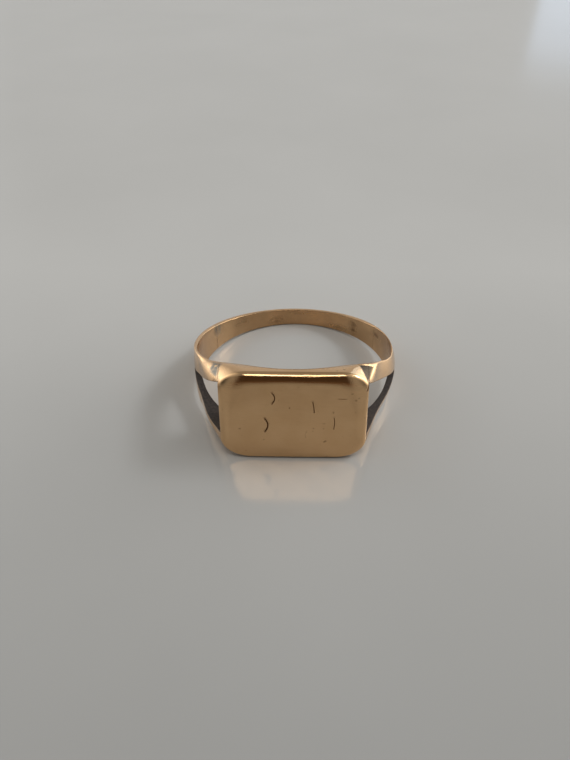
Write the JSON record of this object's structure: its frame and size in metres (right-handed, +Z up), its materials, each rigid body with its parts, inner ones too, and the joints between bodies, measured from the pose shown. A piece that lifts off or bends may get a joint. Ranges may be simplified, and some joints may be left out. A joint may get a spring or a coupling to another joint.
{
  "type": "signet ring",
  "caption": "Cushion-shaped signet ring with saw-split shoulders and a tapering shank, soldered together and lying on its side",
  "frame": {"origin": "under the middle of the ring, on the surface that it lies on", "axes": "+Z up, -Y towards the signet head, +X towards the right shoulder; the finger axis leans about 10.2 degrees from +Z towards +Y"},
  "size_m": [0.0196, 0.0204, 0.0084],
  "materials": {
    "gold": "worn polished 9 ct gold",
    "solder": "dull solder"
  },
  "bodies": {
    "root": {"signet_head": "gold", "left_shoulder": "gold", "right_shoulder": "gold", "shank": "gold", "left_upper_solder": "solder", "left_lower_solder": "solder", "right_upper_solder": "solder", "right_lower_solder": "solder", "left_shank_solder": "solder", "right_shank_solder": "solder"}
  },
  "joints": []
}
